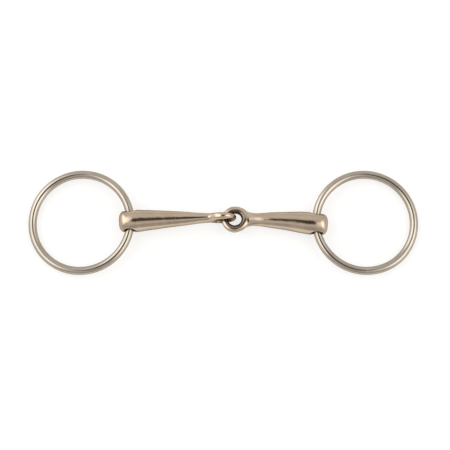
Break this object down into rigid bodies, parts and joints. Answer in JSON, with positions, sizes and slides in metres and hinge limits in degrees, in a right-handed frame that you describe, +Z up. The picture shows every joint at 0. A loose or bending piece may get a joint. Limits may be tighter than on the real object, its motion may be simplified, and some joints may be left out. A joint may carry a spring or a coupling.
{
  "type": "snaffle bit",
  "caption": "Loose-ring horse bit with a single-jointed mouthpiece: two tapered half-mouthpieces linked eye through eye, each carrying a free-swinging round cheek ring.",
  "frame": {"origin": "centre of the bounding box's bottom face: on the surface the bit lies on, under the middle of the whole bit", "axes": "+X along the mouthpiece towards the right ring, +Y along the ring bores, in the plane the bit lies in, +Z up from the surface; the bit lies flat at rest"},
  "size_m": [0.2789, 0.0762, 0.0189],
  "materials": {
    "cheek_ring": "drawn round wire, bent, welded and polished to a warm silvery nickel tone",
    "mouthpiece": "forged, ground and polished to a warm silvery nickel tone, duller in the bores and inside the eyes"
  },
  "bodies": {
    "left_cannon": {"left_cannon": "mouthpiece"},
    "left_ring": {"left_ring": "cheek_ring"},
    "right_cannon": {"right_cannon": "mouthpiece"},
    "right_ring": {"right_ring": "cheek_ring"}
  },
  "joints": [
    {"name": "left_ring_swing", "type": "hinge", "parent": "left_cannon", "child": "left_ring", "pos_m": [-0.0664, 0.00025, 0.008], "axis": [0, 1, 0], "range_deg": [-100, 100]},
    {"name": "mouthpiece_fold", "type": "hinge", "parent": "left_cannon", "child": "right_cannon", "pos_m": [0.0012, 0.0014, 0.0088], "axis": [0, -1, 0], "range_deg": [-65, 65]},
    {"name": "right_ring_swing", "type": "hinge", "parent": "right_cannon", "child": "right_ring", "pos_m": [0.0664, -0.0018, 0.008], "axis": [0, -1, 0], "range_deg": [-100, 100]}
  ]
}
